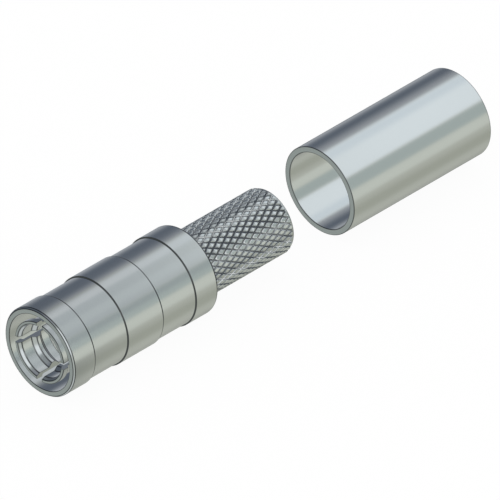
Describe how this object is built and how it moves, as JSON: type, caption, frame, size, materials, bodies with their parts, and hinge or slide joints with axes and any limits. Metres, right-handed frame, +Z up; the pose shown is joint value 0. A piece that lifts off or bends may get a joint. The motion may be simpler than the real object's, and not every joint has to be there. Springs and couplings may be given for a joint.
{
  "type": "smb connector",
  "caption": "Straight push-on coaxial cable plug with a slotted spring contact, a diamond-knurled crimp stem and a separate plain crimp ferrule on the same axis.",
  "frame": {"origin": "centre of the mating face, on the connector's axis", "axes": "+X runs along the axis from the mating face to the cable end, +Z is up and +Y completes a right-handed set"},
  "size_m": [0.0384, 0.0064, 0.0064],
  "materials": {
    "nickel_shell": "satin nickel plate over turned brass",
    "nickel_spring": "nickel plate over spring copper",
    "white_insulator": "matt white fluoroplastic",
    "gold_contact": "bright gold plate",
    "nickel_ferrule": "satin nickel plate over soft copper"
  },
  "bodies": {
    "connector": {"body_shell": "nickel_shell", "spring_contact": "nickel_spring", "insulator": "white_insulator", "centre_contact": "gold_contact"},
    "ferrule": {"crimp_ferrule": "nickel_ferrule"}
  },
  "joints": [
    {"name": "ferrule_slide", "type": "slide", "parent": "connector", "child": "ferrule", "axis": [1, 0, 0], "range_m": [-0.0125, 0]}
  ]
}
